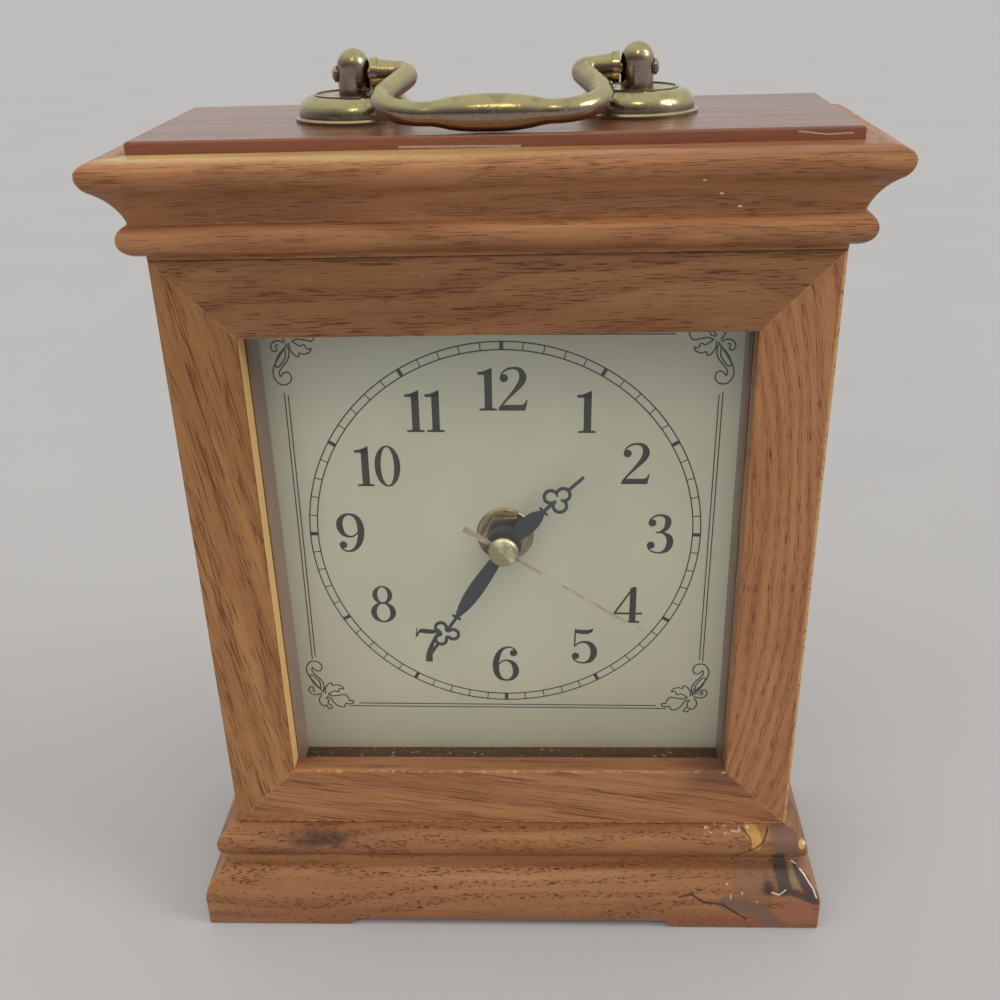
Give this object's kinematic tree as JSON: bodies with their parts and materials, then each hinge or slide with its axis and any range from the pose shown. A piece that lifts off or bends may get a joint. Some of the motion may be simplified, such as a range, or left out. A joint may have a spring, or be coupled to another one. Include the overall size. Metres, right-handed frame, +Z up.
{
  "type": "wooden desk clock",
  "caption": "Square-faced oak desk clock with moulded crown and base, glazed dial, quartz movement, hinged back door and swan-neck brass bail handle.",
  "frame": {"origin": "on the table under the centre of the clock's bounding box", "axes": "+Z up; +Y from the dial to the back door; +X to the right as one faces the dial"},
  "size_m": [0.2004, 0.0798, 0.2598],
  "materials": {
    "oak": "stained oak, satin lacquer",
    "oak_top": "darker stained oak, glossy lacquer",
    "inside_wood": "bare softwood and hardboard inside the case",
    "stained_strip": "dark stained spacer strip",
    "glass": "clear sheet glass",
    "dial_metal": "satin champagne silver",
    "brass": "polished, aged brass",
    "hand_black": "satin black paint",
    "second_gold": "pale gilt",
    "movement_plastic": "moulded black plastic",
    "rubber": "matt",
    "steel": "zinc plated",
    "battery_sleeve": "plain printed sleeve, no lettering"
  },
  "bodies": {
    "case": {"front_rail_bottom": "oak", "front_rail_top": "oak", "front_stile_left": "oak", "front_stile_right": "oak", "crown_moulding_front": "oak", "crown_moulding_left": "oak", "crown_moulding_right": "oak", "base_moulding_front": "oak", "base_moulding_left": "oak", "base_moulding_right": "oak", "base_rail_back": "oak", "side_panel_left": "oak", "side_panel_right": "oak", "bottom_board": "inside_wood", "frieze_rail": "oak", "back_rail_top": "oak", "top_board": "oak_top", "plinth_blocks": "inside_wood", "plinth_screws": "steel", "glass_pane": "glass", "spacer_strip_left": "stained_strip", "spacer_strip_right": "stained_strip", "dial_plate": "dial_metal", "dial_backer": "inside_wood", "dial_cleat_left": "inside_wood", "dial_cleat_right": "inside_wood", "cleat_screws": "steel", "movement_case": "movement_plastic", "movement_cover": "movement_plastic", "rubber_gasket": "rubber", "shaft_bush": "brass", "dial_washer": "brass", "dial_nut": "brass", "battery": "battery_sleeve", "battery_contacts": "steel", "handle_rosette_left": "brass", "handle_rosette_right": "brass", "handle_post_left": "brass", "handle_post_right": "brass", "handle_washers": "steel", "handle_nuts": "steel", "case_hinge_leaves": "brass", "case_hinge_screws": "brass", "hinge_pins": "brass", "catch_block": "inside_wood", "catch_magnet": "steel"},
    "back_door_leaf": {"back_door": "oak", "door_hinge_leaves": "brass", "door_hinge_screws": "brass", "door_pull": "brass", "catch_plate": "steel"},
    "bail_handle": {"bail": "brass"},
    "hour": {"hour_hand": "hand_black", "hour_pipe": "brass"},
    "minute": {"minute_hand": "hand_black", "minute_pipe": "brass"},
    "second": {"second_hand": "second_gold", "centre_cap": "brass"},
    "time_setting": {"set_knob": "movement_plastic"}
  },
  "joints": [
    {"name": "bail_swing", "type": "hinge", "parent": "case", "child": "bail_handle", "pos_m": [0, 0.00585, 0.2537], "axis": [-1, 0, 0], "range_deg": [0, 203.5]},
    {"name": "back_door_hinge", "type": "hinge", "parent": "case", "child": "back_door_leaf", "pos_m": [-0.0739, 0.03645, 0.126], "axis": [0, 0, 1], "range_deg": [0, 135]},
    {"name": "minute_spin", "type": "hinge", "parent": "case", "child": "minute", "pos_m": [0, -0.01475, 0.12595], "axis": [0, 1, 0], "continuous": true},
    {"name": "hour_spin", "type": "hinge", "parent": "case", "child": "hour", "pos_m": [0, -0.01165, 0.12595], "axis": [0, 1, 0], "continuous": true},
    {"name": "second_spin", "type": "hinge", "parent": "case", "child": "second", "pos_m": [0, -0.01615, 0.12595], "axis": [0, 1, 0], "continuous": true},
    {"name": "set_knob_spin", "type": "hinge", "parent": "case", "child": "time_setting", "pos_m": [0, 0.01845, 0.13895], "axis": [0, 1, 0], "continuous": true}
  ],
  "couplings": [
    {"joint": "hour_spin", "follows": "minute_spin", "ratio": 0.083333},
    {"joint": "set_knob_spin", "follows": "minute_spin", "ratio": -0.33333}
  ]
}
